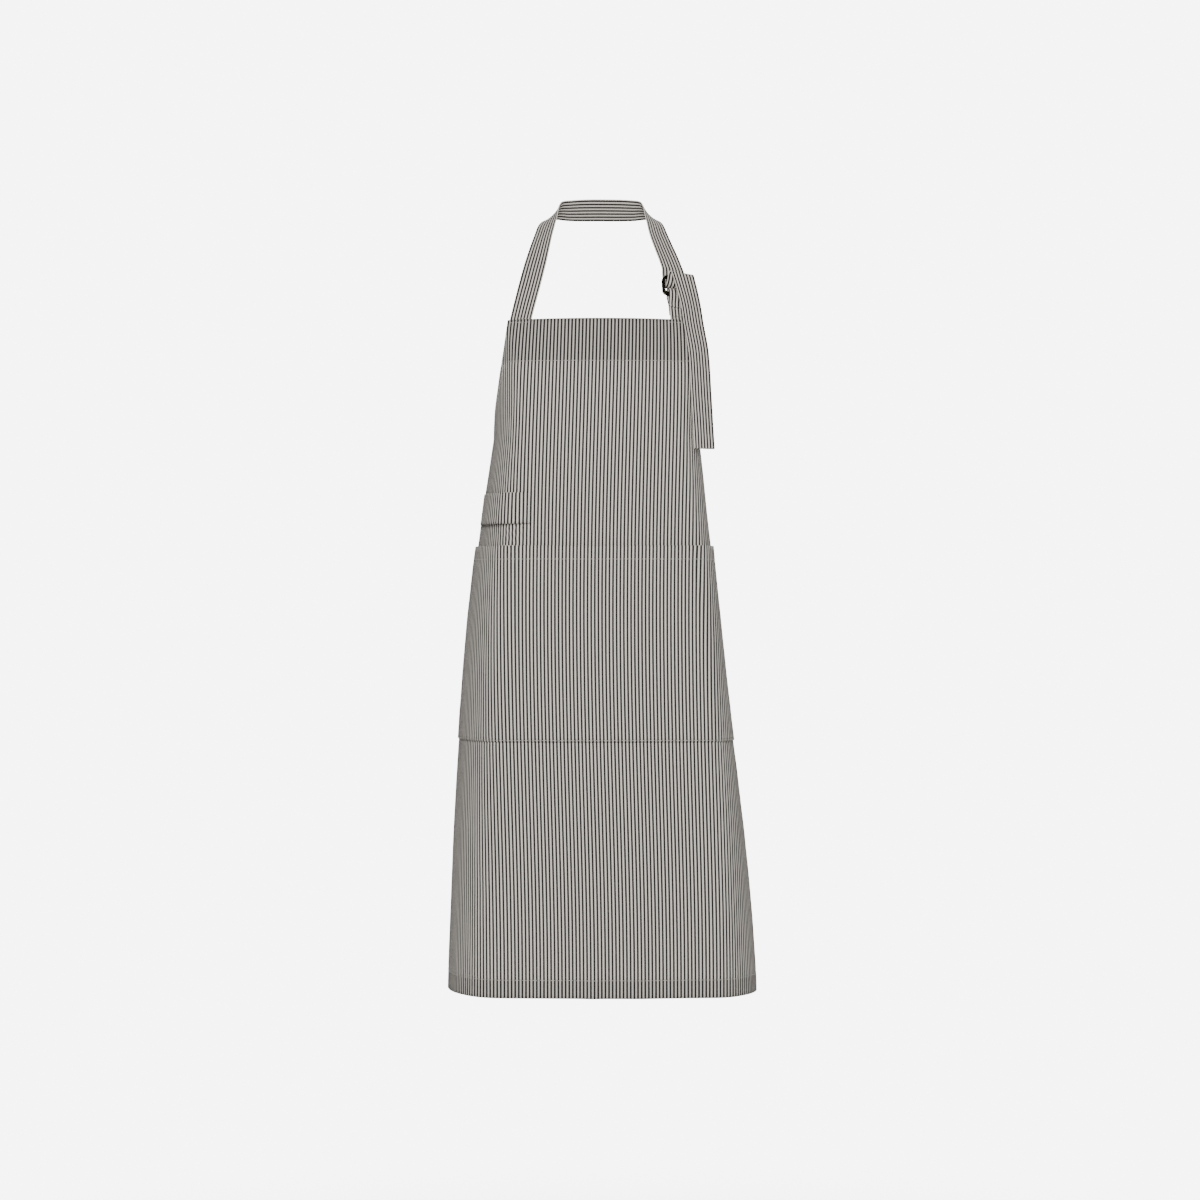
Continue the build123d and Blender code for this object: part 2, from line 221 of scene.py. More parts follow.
def smooth_drape(across, height, lift=0):
    """Place a point of the flat cloth on the body, and lift it off its surface."""
    x = y = heading = 0
    left = abs(across)
    for length, radius in arcs_across(height, across < 0):
        step = min(left, length)
        turn = step / radius
        x += radius * (sin(heading + turn) - sin(heading))
        y += radius * (cos(heading) - cos(heading + turn))
        heading += turn
        left -= step
    x += lift * sin(heading)
    y -= lift * cos(heading)
    lean = max(height - CHEST_START, 0) / (APRON_HEIGHT - CHEST_START)
    x = copysign(x, across) - HIP_SHIFT * swing(height)
    return Vector((x, y - FRONT_DEPTH + CHEST_SLOPE * lean ** 2, height - HEM_DROP))


def bump(value, middle, breadth):
    """Smooth hill of height 1."""
    return exp(-((value - middle) / breadth) ** 2)


def folds(across, height):
    """How far soft folds and seam puckers lift the cloth off its smooth shape."""
    skirt = max(0, 1 - height / FOLDS_END)
    lift = MIDDLE_FOLD * skirt ** 0.7 * bump(across, -0.010 + 0.010 * height, 0.010)
    lift += SECOND_FOLD * skirt * bump(across, 0.052, 0.014)
    lift += SKIRT_WAVES * skirt * sin(across * 31 + 1.0) * min(abs(across) / 0.2, 1)
    lift += SOFT_DENTS * noise.noise(Vector((across * 14, height * 5, 0)))
    lift += FINE_DENTS * noise.noise(Vector((across * 60, height * 26, 3)))
    hip = bump(height, LOOP_BOTTOM - 0.016, 0.020) * bump(across, -0.094, 0.018)
    lift += HIP_WRINKLES * hip * sin((across * 0.8 + height) * 420)
    for seam in (HEM_DEPTH, FACING_BOTTOM, POCKET_TOP - POCKET_HEM, POCKET_BOTTOM):
        near = bump(height, seam, 0.006)
        lift -= SEAM_SINK * bump(height, seam, 0.0016)
        lift += SEAM_PUCKER * near * noise.noise(Vector((across * 140, seam * 50, 9)))
    return lift


def drape(across, height, lift=0):
    """Place a point of the flat cloth on the body with its soft folds, and lift it off."""
    return smooth_drape(across, height, lift + folds(across, height))


def spread(start, end, count):
    """Evenly spaced numbers, both ends included."""
    return [start + (end - start) * index / (count - 1) for index in range(count)]


def rows_between(bottom, top, step=0.006, seams=()):
    """Heights for a grid: even steps, and closer ones beside each seam."""
    beside = [seam + offset for seam in seams for offset in (-0.003, -0.0012, 0.0012, 0.003)]
    heights = spread(bottom, top, int((top - bottom) / step) + 2)
    heights = sorted(heights + [h for h in beside if bottom + 0.0005 < h < top - 0.0005])
    return [h for h, after in zip(heights, heights[1:]) if after - h > 0.0002] + [top]


# ---------------------------------------------------------------- mesh helpers

def new_object(name, vertices, faces, flats=None, smooth=True):
    """Mesh object with the flat cloth's coordinates, in metres, as its UV map."""
    flats = flats or [(vertex[0], vertex[2]) for vertex in vertices]
    mesh = bpy.data.meshes.new(name)
    mesh.from_pydata(vertices, [], faces)
    layer = mesh.uv_layers.new(name="flat")
    for loop in mesh.loops:
        layer.data[loop.index].uv = flats[loop.vertex_index]
    mesh.polygons.foreach_set("use_smooth", [smooth] * len(mesh.polygons))
    piece = bpy.data.objects.new(name, mesh)
    bpy.context.scene.collection.objects.link(piece)
    return piece


def grid_faces(rows, columns):
    """Quads of a grid whose vertices are listed row by row."""
    return [
        (row * columns + column, row * columns + column + 1,
         (row + 1) * columns + column + 1, (row + 1) * columns + column)
        for row in range(rows - 1) for column in range(columns - 1)
    ]


def thicken(piece, thickness, edge=0.0):
    """Give a sheet its thickness, with softened edges where edge is given."""
    solid = piece.modifiers.new("thickness", "SOLIDIFY")
    solid.thickness = thickness
    solid.offset = 0
    solid.use_even_offset = True
    if edge:
        soft = piece.modifiers.new("soft edge", "BEVEL")
        soft.width = edge
        soft.segments = 2
        soft.limit_method = "ANGLE"
        soft.angle_limit = 1.0
    return piece


def dress(piece, body, slot, material, *nodes):
    """Put a piece on its body, with its material, in place of the CAD nodes that it stands for."""
    piece.data.materials.append(material)
    if body:
        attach(piece, body)
    if nodes:
        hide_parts(*nodes)
    return piece


def cloth_piece(name, left, right, heights, lift, columns, thickness=CLOTH):
    """One layer of draped cloth between two edges, each given as a width across at a height."""
    vertices = []
    flats = []
    for height in heights:
        for across in spread(left(height), right(height), columns):
            vertices.append(drape(across, height, lift(across, height) + thickness / 2))
            flats.append((across, height))
    piece = new_object(name, vertices, grid_faces(len(heights), columns), flats)
    return thicken(piece, thickness)


def smooth_line(points, per_span):
    """Smooth curve through the points, as a list of closer points."""
    extended = [points[0] * 2 - points[1], *points, points[-1] * 2 - points[-2]]
    line = []
    for before, start, end, after in zip(extended, extended[1:], extended[2:], extended[3:]):
        span = (end - start).length
        out = (end - before).normalized() * span / 3
        back = (after - start).normalized() * span / 3
        line += interpolate_bezier(start, start + out, end - back, end, per_span + 1)[:-1]
    line.append(points[-1].copy())
    return line


def strap_piece(name, first, second, thickness=STRAP, crown=0.0005, columns=9, width=STRAP_WIDTH):
    """Flat strip of doubled cloth between two lines of points, with a dark stripe along its middle."""
    vertices = []
    flats = []
    travelled = 0.0
    last = len(first) - 1
    for row, (one, two) in enumerate(zip(first, second)):
        if row:
            travelled += ((one + two) / 2 - (first[row - 1] + second[row - 1]) / 2).length
        ahead = (first[min(row + 1, last)] - first[max(row - 1, 0)]).normalized()
        normal = (two - one).cross(ahead).normalized()
        for share in spread(0, 1, columns):
            rise = crown * (1 - (2 * share - 1) ** 4)
            wrinkle = STRAP_WRINKLES * noise.noise(Vector((share * 2.2, travelled * 34, width * 100)))
            vertices.append(one.lerp(two, share) + normal * (rise + wrinkle))
            flats.append(((share - 0.5) * width + STRIPE_PITCH / 2, travelled))
    piece = new_object(name, vertices, grid_faces(len(first), columns), flats)
    return thicken(piece, thickness, edge=0.0004)


STITCH = 0.0026
STITCH_GAP = 0.0007
THREAD_RADIUS = 0.00026
STITCH_SECTIONS = ((-0.5, 0.35), (-0.3, 1.0), (0.3, 1.0), (0.5, 0.35))  # (share of its length, size)
STITCH_PROFILE = ((-1, -0.8), (1, -0.8), (1.0, 0.6), (0, 1.0), (-1.0, 0.6))


def stitch(centre, along, side, normal):
    """Vertices of one stitch: a short bead of thread with sunken ends."""
    vertices = []
    for share, size in STITCH_SECTIONS:
        section = centre + along * STITCH * share - normal * THREAD_RADIUS * (1 - size)
        for a, b in STITCH_PROFILE:
            vertices.append(section + (side * a + normal * b) * THREAD_RADIUS * size)
    return vertices


def stitch_faces(base):
    """Faces of one stitch whose vertices start at base."""
    corners = len(STITCH_PROFILE)
    faces = [tuple(base + corner for corner in reversed(range(corners)))]
    for low in range(base, base + 3 * corners, corners):
        for corner in range(corners):
            after = (corner + 1) % corners
            faces.append((low + corner, low + after, low + corners + after, low + corners + corner))
    faces.append(tuple(base + 3 * corners + corner for corner in range(corners)))
    return faces


def stitches(name, places, lift, material):
    """Row of separate stitches on the draped cloth, through (across, height) places."""
    surface = [drape(across, height, lift(across, height) + CLOTH) for across, height in places]
    raised = [drape(across, height, lift(across, height) + CLOTH + 0.001) for across, height in places]
    vertices = []
    faces = []
    place = 0.0
    for start, end, high in zip(surface, surface[1:], raised):
        run = (end - start).length
        along = (end - start) / run
        normal = (high - start).normalized()
        side = along.cross(normal).normalized()
        while place < run:
            faces += stitch_faces(len(vertices))
            vertices += stitch(start + along * place + normal * THREAD_RADIUS * 0.5, along, side, normal)
            place += STITCH + STITCH_GAP
        place -= run
    return dress(new_object(name, vertices, faces), APRON, "thread", material)


# ---------------------------------------------------------------- materials

class Nodes:
    """Small helper that wires shader nodes."""

    def __init__(self, name):
        self.material = bpy.data.materials.new(name)
        self.material.use_nodes = True
        self.tree = self.material.node_tree
        self.shader = self.tree.nodes["Principled BSDF"]

    def add(self, kind, **values):
        """New node with its settings."""
        node = self.tree.nodes.new(kind)
        for key, value in values.items():
            setattr(node, key, value)
        return node

    def link(self, output, target):
        """Wire an output to an input."""
        self.tree.links.new(output, target)

    def math(self, operation, first, second=None):
        """Arithmetic on outputs or plain numbers."""
        node = self.add("ShaderNodeMath", operation=operation)
        for index, value in enumerate((first, second)):
            if value is None:
                continue
            if isinstance(value, (int, float)):
                node.inputs[index].default_value = value
            else:
                self.link(value, node.inputs[index])
        return node.outputs[0]

    def noise(self, vector, scales, detail=2.0):
        """Noise with its own scale along each coordinate."""
        mapping = self.add("ShaderNodeMapping")
        mapping.inputs["Scale"].default_value = scales
        self.link(vector, mapping.inputs["Vector"])
        texture = self.add("ShaderNodeTexNoise")
        texture.inputs["Scale"].default_value = 1
        texture.inputs["Detail"].default_value = detail
        self.link(mapping.outputs[0], texture.inputs["Vector"])
        return texture.outputs["Fac"]

    def mix(self, factor, first, second):
        """Blend of two colours."""
        node = self.add("ShaderNodeMix", data_type="RGBA")
        self.link(factor, node.inputs["Factor"])
        for value, socket in ((first, node.inputs[6]), (second, node.inputs[7])):
            if isinstance(value, tuple):
                socket.default_value = (*value, 1)
            else:
                self.link(value, socket)
        return node.outputs[2]

    def smooth(self, value, low, high, to_low=0.0, to_high=1.0):
        """Soft step between two values."""
        node = self.add("ShaderNodeMapRange", interpolation_type="SMOOTHSTEP")
        self.link(value, node.inputs["Value"])
        for key, number in (("From Min", low), ("From Max", high), ("To Min", to_low), ("To Max", to_high)):
            node.inputs[key].default_value = number
        return node.outputs[0]

    def relief(self, height, strength, distance):
        """Fine surface relief."""
        node = self.add("ShaderNodeBump")
        node.inputs["Strength"].default_value = strength
        node.inputs["Distance"].default_value = distance
        self.link(height, node.inputs["Height"])
        self.link(node.outputs[0], self.shader.inputs["Normal"])


DARK_YARN = (0.024, 0.021, 0.019)
LIGHT_YARN = (0.87, 0.822, 0.755)
WEFT_YARN = (0.80, 0.75, 0.68)
STRIPE_EDGE = (0.218, 0.258)  # from a light stripe's middle to where it turns dark, as shares of the pitch
STRIPE_DRIFT = 0.00012
STRIPE_FRAY = 0.04
FLECKS = 0.04
BLACKENED_BRASS = (0.022, 0.020, 0.014)
RUBBED_BRASS = (0.20, 0.165, 0.09)


def ticking(name, painted_shade_bands=()):
    """Woven cotton whose dark and light stripes run along the second flat coordinate.

    Each band of painted shade is (low, high, shade): heights on the cloth where a second layer behind it
    shows, and the factor that darkens its colour there.
    """
    n = Nodes(name)
    flat = n.add("ShaderNodeUVMap", uv_map="flat").outputs[0]
    split = n.add("ShaderNodeSeparateXYZ")
    n.link(flat, split.inputs[0])
    across, along = split.outputs[0], split.outputs[1]
    drift = n.math("SUBTRACT", n.noise(flat, (40, 14, 1), detail=3), 0.5)
    across = n.math("ADD", across, n.math("MULTIPLY", drift, STRIPE_DRIFT))

    from_light = n.math("PINGPONG", n.math("DIVIDE", across, STRIPE_PITCH), 0.5)
    fray = n.math("SUBTRACT", n.noise(flat, (1900, 1900, 1), detail=1), 0.5)
    stripe = n.smooth(n.math("ADD", from_light, n.math("MULTIPLY", fray, STRIPE_FRAY)), *STRIPE_EDGE)

    # the weft is light and shows as small flecks in the dark stripes
    warp = n.math("SINE", n.math("MULTIPLY", across, 2 * pi / YARN))
    weft = n.math("SINE", n.math("MULTIPLY", along, 2 * pi / YARN))
    weave = n.math("MULTIPLY", warp, weft)
    slub = n.noise(flat, (2600, 90, 1))
    pick = n.noise(flat, (70, 2300, 1))
    dark = n.mix(n.math("MULTIPLY", n.smooth(weave, 0.35, 0.9), FLECKS), DARK_YARN, LIGHT_YARN)
    light = n.mix(n.smooth(pick, 0.35, 0.75), LIGHT_YARN, WEFT_YARN)
    colour = n.mix(stripe, light, dark)

    tone = n.math("ADD", 0.89, n.math("MULTIPLY", slub, 0.22))
    wash = n.noise(flat, (7, 5, 1), detail=3)
    tone = n.math("MULTIPLY", tone, n.math("ADD", 0.96, n.math("MULTIPLY", wash, 0.08)))
    # painted shade: the colour is darkened between each band's low and high heights
    for low, high, shade in painted_shade_bands:
        above = n.smooth(along, low - 0.001, low + 0.001)
        inside = n.math("MULTIPLY", above, n.smooth(along, high + 0.001, high - 0.001))
        tone = n.math("MULTIPLY", tone, n.math("SUBTRACT", 1.0, n.math("MULTIPLY", inside, 1.0 - shade)))
    scale = n.add("ShaderNodeVectorMath", operation="SCALE")
    n.link(colour, scale.inputs[0])
    n.link(tone, scale.inputs["Scale"])
    n.link(scale.outputs[0], n.shader.inputs["Base Color"])

    n.relief(n.math("ADD", n.math("MULTIPLY", weave, 0.5), n.math("MULTIPLY", slub, 0.8)), 0.4, 0.0002)
    n.link(n.smooth(slub, 0.2, 0.8, 0.78, 0.95), n.shader.inputs["Roughness"])
    n.shader.inputs["Specular IOR Level"].default_value = 0.2
    n.shader.inputs["Sheen Weight"].default_value = 0.05
    n.shader.inputs["Sheen Roughness"].default_value = 0.5
    return n.material


def ring_metal():
    """Blackened brass wire, rubbed through to warm metal in small patches."""
    n = Nodes("blackened_brass")
    place = n.add("ShaderNodeTexCoord").outputs["Object"]
    wear = n.smooth(n.noise(place, (420, 420, 420), detail=5), 0.58, 0.74)
    n.link(n.mix(wear, BLACKENED_BRASS, RUBBED_BRASS), n.shader.inputs["Base Color"])
    n.shader.inputs["Metallic"].default_value = 1.0
    n.link(n.smooth(wear, 0, 1, 0.24, 0.42), n.shader.inputs["Roughness"])
    n.relief(n.noise(place, (900, 900, 900), detail=3), 0.15, 0.0002)
    return n.material


def sewing_thread(name, colour):
    """Twisted cotton thread."""
    n = Nodes(name)
    place = n.add("ShaderNodeTexCoord").outputs["Object"]
    twist = n.add("ShaderNodeTexWave", wave_type="BANDS", bands_direction="DIAGONAL")
    twist.inputs["Scale"].default_value = 900
    twist.inputs["Distortion"].default_value = 1.5
    n.link(place, twist.inputs["Vector"])
    dim = tuple(0.7 * part for part in colour)
    n.link(n.mix(n.math("MULTIPLY", twist.outputs["Fac"], 0.5), colour, dim), n.shader.inputs["Base Color"])
    n.relief(twist.outputs["Fac"], 0.3, 0.0001)
    n.shader.inputs["Roughness"].default_value = 0.75
    n.shader.inputs["Sheen Weight"].default_value = 0.2
    return n.material


def pale_floor():
    """Pale matt floor that fades out before the horizon."""
    n = Nodes("pale_floor")
    place = n.add("ShaderNodeTexCoord").outputs["Object"]
    length = n.add("ShaderNodeVectorMath", operation="LENGTH")
    n.link(place, length.inputs[0])
    grain = n.noise(place, (3, 3, 3), detail=3)
    n.link(n.mix(grain, (0.86, 0.86, 0.86), (0.88, 0.88, 0.88)), n.shader.inputs["Base Color"])
    n.shader.inputs["Roughness"].default_value = 0.9
    n.link(n.smooth(length.outputs["Value"], 1.0, 3.2, 1.0, 0.0), n.shader.inputs["Alpha"])
    return n.material


# Painted shade over the facing at the top of the bib and over the bottom hem, as (low, high, darkening)
FACING_PAINTED_SHADE = (FACING_BOTTOM, APRON_HEIGHT + 0.01, 0.76)
HEM_PAINTED_SHADE = (-0.01, HEM_DEPTH, 0.78)
panel_cloth = ticking("ticking", (FACING_PAINTED_SHADE, HEM_PAINTED_SHADE))
plain_cloth = ticking("ticking_plain")
light_thread = sewing_thread("light_thread", (0.66, 0.63, 0.57))
dark_thread = sewing_thread("dark_thread", (0.05, 0.045, 0.042))
brass = ring_metal()


# ---------------------------------------------------------------- panel, pocket and towel loop

PANEL_COLUMNS = 145


def flat_lift(level):
    """Lift of a layer that follows the panel, counted in layers outwards."""
    return lambda across, height: level * LAYER


def inner_edge(height):
    """Just inside the cloth's right edge."""
    return half_width(height) - EDGE_GAP


def full_width(name, bottom, top, lift, seams=()):
    """One layer of cloth from edge to edge."""
    heights = rows_between(bottom, top, seams=seams)
    return cloth_piece(name, lambda h: -inner_edge(h), inner_edge, heights, lift, PANEL_COLUMNS)


def make_panel():
    """Bib and skirt, with the facing and the hems turned inside."""
    heights = rows_between(0, APRON_HEIGHT, seams=(HEM_DEPTH, FACING_BOTTOM))
    panel = cloth_piece(
        "apron_panel", lambda h: -half_width(h), half_width, heights, flat_lift(0), PANEL_COLUMNS,
    )
    dress(panel, APRON, "ticking_cloth", panel_cloth, "front_panel")
    for name, bottom, top in (
        ("bib_facing", FACING_BOTTOM, APRON_HEIGHT - EDGE_GAP),
        ("bottom_hem", EDGE_GAP, HEM_DEPTH),
    ):
        piece = full_width(name + "_cloth", bottom, top, flat_lift(-1))
        dress(piece, APRON, "ticking_cloth", plain_cloth, name)
    for side, word in ((-1, "left"), (1, "right")):
        for name, bottom, top in (
            ("armhole_hem", WAIST_HEIGHT - 0.029, FACING_BOTTOM - EDGE_GAP),
            ("side_hem", HEM_DEPTH + EDGE_GAP, WAIST_HEIGHT - 0.030),
        ):
            piece = cloth_piece(
                f"{name}_cloth_{word}",
                lambda h: side * (half_width(h) - EDGE_HEM),
                lambda h: side * inner_edge(h),
                rows_between(bottom, top), flat_lift(-1), 4,
            )
            dress(piece, APRON, "ticking_cloth", plain_cloth, f"{name}_{word}")


def pocket_lift(level):
    """Lift of a pocket layer: close at the sides and bottom, standing off at the mouth."""
    def lift(across, height):
        rise = max(height - POCKET_BOTTOM, 0) / (POCKET_TOP - POCKET_BOTTOM)
        middle = cos(pi / 2 * min(abs(across) / half_width(height), 1))
        wave = POCKET_WAVES * noise.noise(Vector((across * 22, 4, 4))) * rise ** 4
        return level * LAYER + POCKET_PUFF * middle ** 0.5 * rise ** 1.5 + wave
    return lift


def make_pocket():
    """Full-width pocket with a turned mouth and a turned-in bottom edge."""
    hem_line = POCKET_TOP - POCKET_HEM
    pocket = full_width("pocket_cloth", POCKET_BOTTOM, POCKET_TOP, pocket_lift(2), (hem_line,))
    dress(pocket, APRON, "ticking_cloth", plain_cloth, "pocket")
    for name, bottom, top in (
        ("pocket_mouth_hem", hem_line, POCKET_TOP - EDGE_GAP),
        ("pocket_bottom_fold", POCKET_BOTTOM + EDGE_GAP, POCKET_BOTTOM + POCKET_FOLD),
    ):
        piece = full_width(name + "_cloth", bottom, top, pocket_lift(1))
        dress(piece, APRON, "ticking_cloth", plain_cloth, name)


def loop_lift(across, height):
    """Towel loop: sewn down at both ends, arched between them, its lower edge a little looser."""
    share = min(max((-across - LOOP_INNER) / (LOOP_OUTER - LOOP_INNER), 0), 1)
    loose = 1 + 0.35 * (LOOP_TOP - height) / (LOOP_TOP - LOOP_BOTTOM)
    return LAYER + LOOP_PUFF * loose * sin(pi * share) ** 0.8


def make_towel_loop():
    """Band over the left hip."""
    heights = rows_between(LOOP_BOTTOM, LOOP_TOP, 0.004)
    loop = cloth_piece(
        "towel_loop_cloth", lambda h: -LOOP_OUTER, lambda h: -LOOP_INNER, heights, loop_lift, 41,
    )
    dress(loop, APRON, "ticking_cloth", plain_cloth, "towel_loop")


# ---------------------------------------------------------------- rings, keeper and neck strap

def keeper_foot(beside=0.0):
    """Middle of the keeper tab on the inside of the bib's top edge, or a little beside it."""
    return smooth_drape(KEEPER_INNER + KEEPER_WIDTH / 2 + beside, APRON_HEIGHT, -KEEPER_BEHIND)


RING_UP = (RING_MIDDLE - keeper_foot()).normalized()
FOOT_ACROSS = keeper_foot(0.001) - keeper_foot()
RING_ACROSS = (FOOT_ACROSS - RING_UP * FOOT_ACROSS.dot(RING_UP)).normalized()
RING_OUT = RING_ACROSS.cross(RING_UP).normalized()
BAR_UP = -(RING_HEIGHT + RING_WIRE) / 2


def closure_point(across, up, out):
    """A point given in the plane of the rings."""
    return RING_MIDDLE + RING_ACROSS * across + RING_UP * up + RING_OUT * out


def ring_outline():
    """Centre line of a D-ring: straight bar below, rounded shoulders above."""
    wide = (RING_WIDTH + RING_WIRE) / 2
    corners = [
        (1, -1, RING_BAR_RADIUS, -pi / 2), (1, 1, RING_TOP_RADIUS, 0),
        (-1, 1, RING_TOP_RADIUS, pi / 2), (-1, -1, RING_BAR_RADIUS, pi),
    ]
    outline = []
    for side, upper, radius, start in corners:
        for angle in spread(start, start + pi / 2, 10):
            across = side * (wide - radius) + radius * cos(angle)
            outline.append((across, upper * (-BAR_UP - radius) + radius * sin(angle)))
    return outline


def round_wire(name, points, across_wire, radius, sides=16):
    """Closed round wire along a line of points that lies in one plane."""
    vertices = []
    for before, point, after in zip([points[-1], *points], points, [*points[1:], points[0]]):
        side = across_wire.cross(after - before).normalized()
        for corner in range(sides):
            angle = 2 * pi * corner / sides
            vertices.append(point + (side * cos(angle) + across_wire * sin(angle)) * radius)
    count = len(points)
    faces = [
        (index * sides + corner, (index + 1) % count * sides + corner,
         (index + 1) % count * sides + (corner + 1) % sides, index * sides + (corner + 1) % sides)
        for index in range(count) for corner in range(sides)
    ]
    return new_object(name, vertices, faces)


def make_rings():
    """The two D-rings that lock the strap."""
    for name, side in (("ring_front", 1), ("ring_back", -1)):
        out = side * (RING_WIRE + RING_APART) / 2
        points = [closure_point(across, up, out) for across, up in ring_outline()]
        dress(round_wire(name + "_wire", points, RING_OUT, RING_WIRE / 2), name, "ring_metal", brass, name)


def make_keeper():
    """Tab sewn behind the bib's corner and folded over the rings' straight bars."""
    foot = 0.0045 - (RING_MIDDLE - keeper_foot()).length
    arch = [
        (-KEEPER_AROUND * cos(angle), BAR_UP + KEEPER_SLACK * sin(angle))
        for angle in spread(0, pi, 9)
    ]
    # as (out, up): up behind the bars, over them, and down to where the tab is sewn to itself
    path = [
        (-0.0004, foot), (-0.0012, BAR_UP - 0.018), (-0.0036, BAR_UP - 0.008), *arch,
        (0.0036, BAR_UP - 0.007), (0.0008, BAR_UP - 0.015), (0.0006, BAR_UP - 0.020),
    ]
    half = KEEPER_WIDTH / 2
    edges = [smooth_line([closure_point(side * half, up, out) for out, up in path], 3) for side in (-1, 1)]
    keeper = strap_piece("keeper_tab_cloth", *edges, thickness=CLOTH, crown=0, width=KEEPER_WIDTH)
    dress(keeper, APRON, "ticking_cloth", plain_cloth, "keeper_tab")
    foot_piece = cloth_piece(
        "keeper_tab_foot", lambda h: KEEPER_INNER, lambda h: KEEPER_INNER + KEEPER_WIDTH,
        rows_between(APRON_HEIGHT - KEEPER_SEWN, APRON_HEIGHT + 0.005), flat_lift(-2), 9,
    )
    dress(foot_piece, APRON, "ticking_cloth", plain_cloth)


def mirrored(points):
    """The same points on the other side of the neck."""
    return [Vector((2 * NECK_BACK[0].x - point.x, point.y, point.z)) for point in points]


def neck_edge(side, sewn_at, near_neck, back):
    """One edge of the neck strap, from behind the bib's left corner to the back of the rings."""
    sewn = [drape(-STRAP_INNER - sewn_at, APRON_HEIGHT - drop, SEWN_INSIDE) for drop in STRAP_SEWN]
    ring_leg = [closure_point(side * STRAP_WIDTH / 2, up, -LEG_OFFSET) for up in BACK_LEG]
    return smooth_line([*sewn, *near_neck, back, *reversed(mirrored(near_neck[1:])), *ring_leg], 9)


def make_neck_strap():
    """Strap from the left corner of the bib round the neck to the back of the rings."""
    edges = [
        neck_edge(-1, 0, NECK_TOP_EDGE, NECK_BACK[0]),
        neck_edge(1, STRAP_WIDTH, NECK_LOWER_EDGE, NECK_BACK[1]),
    ]
    strap = strap_piece("neck_strap_cloth", *edges)
    dress(strap, APRON, "ticking_cloth", plain_cloth, "neck_strap")


# Strap's way through the rings, as (up, out, slip along its width): down behind, under and back over
STRAP_TURN = [
    (0.0140, -0.0080, 0), (0.0070, -0.0080, 0), (0.0005, -0.0064, 0), (-0.0012, -0.0020, 0),
    (0.0004, 0.0030, 0), (0.0050, 0.0062, 0.0004), (0.0110, 0.0078, 0.0010), (0.0146, 0.0085, 0.0020),
    (0.0158, 0.0103, 0.0028), (0.0148, 0.0123, 0.0034), (0.0105, 0.0132, 0.0044),
]


def tail_edge(side):
    """One edge of the strap's turn through the rings and of its hanging tail."""
    points = [closure_point(side * STRAP_WIDTH / 2 + slip, up, out) for up, out, slip in STRAP_TURN]
    hanging = TAIL_INNER_EDGE if side < 0 else [point + TAIL_ACROSS for point in TAIL_INNER_EDGE]
    return smooth_line([*points, *hanging[:-1], hanging[-2].lerp(hanging[-1], 0.7), hanging[-1]], 7)


def make_strap_tail():
    """The strap under the rings' top bars, over the front ring and down as the hanging tail."""
    edges = [tail_edge(-1), tail_edge(1)]
    tail = strap_piece("strap_tail_cloth", *edges, crown=0.0003)
    tail.data.materials.append(plain_cloth)
    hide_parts("strap_turn", "strap_tail")
    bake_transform(tail)

    behind = RING_OUT * -0.0013
    hem_edges = [[point + behind for point in edge[-9:]] for edge in edges]
    hem = strap_piece("strap_tail_hem_cloth", *hem_edges, thickness=CLOTH)
    dress(hem, "tail", "ticking_cloth", plain_cloth, "strap_tail_hem")


# ---------------------------------------------------------------- stitching

STITCH_INSET = 0.0015      # from a turned layer's inner edge to the stitches that hold it


def level_row(height, reach, count=240):
    """Places straight across the cloth."""
    return [(across, height) for across in spread(0.002 - reach, reach - 0.002, count)]


def edge_row(side, bottom, top, count=80):
    """Places along the turned side edge."""
    return [
        (side * (half_width(height) - EDGE_HEM + STITCH_INSET), height)
        for height in spread(bottom, top, count)
    ]


def make_stitching():
    """Every visible row of stitches."""
    on_panel, on_pocket = flat_lift(0), pocket_lift(2)
    for name, height, lift in (
        ("facing_stitches", FACING_BOTTOM + 0.0012, on_panel),
        ("hem_stitches", HEM_DEPTH - STITCH_INSET, on_panel),
        ("pocket_mouth_stitches", POCKET_TOP - POCKET_HEM + STITCH_INSET, on_pocket),
        ("pocket_bottom_stitches", POCKET_BOTTOM + 0.002, on_pocket),
    ):
        stitches(name, level_row(height, half_width(height)), lift, light_thread)
    for side, word in ((-1, "left"), (1, "right")):
        for name, bottom, top, lift in (
            ("armhole_stitches", WAIST_HEIGHT - 0.020, FACING_BOTTOM, on_panel),
            ("pocket_side_stitches", POCKET_BOTTOM, POCKET_TOP, on_pocket),
            ("side_stitches", HEM_DEPTH, POCKET_BOTTOM - 0.002, on_panel),
        ):
            stitches(f"{name}_{word}", edge_row(side, bottom, top), lift, light_thread)
        strap_end = [
            (side * across, APRON_HEIGHT - 0.004)
            for across in spread(STRAP_INNER + 0.003, STRAP_INNER + STRAP_WIDTH - 0.003, 10)
        ]
        stitches(f"strap_end_stitches_{word}", strap_end, on_panel, light_thread)
        zigzag = [0, 0.0016] * 7
        tack_places = [
            (side * (half_width(POCKET_TOP) - EDGE_HEM + sway), POCKET_TOP - 0.002 - drop)
            for drop, sway in zip(spread(0, 0.010, 14), zigzag)
        ]
        tack = stitches(f"pocket_bartack_{word}", tack_places, on_pocket, light_thread)
        if side < 0:
            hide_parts("bartacks")
    for name, across in (
        ("loop_end_stitches", -LOOP_INNER - 0.003),
        ("loop_side_stitches", -LOOP_OUTER + 0.003),
    ):
        places = [(across, height) for height in spread(LOOP_BOTTOM + 0.002, LOOP_TOP - 0.002, 12)]
        stitches(name, places, loop_lift, light_thread)


def make_thread_knot():
    """Small tuft of dark thread left at the pocket's hem: two loose turns of it."""
    across, height = -0.035, POCKET_TOP - POCKET_HEM
    places = [
        (across + 0.0012 * cos(turn), height - 0.0016 * sin(turn * 1.3))
        for turn in spread(0, 4 * pi, 26)
    ]
    stitches("thread_knot", places, pocket_lift(2), dark_thread)


# ---------------------------------------------------------------- waist ties, knot and bow

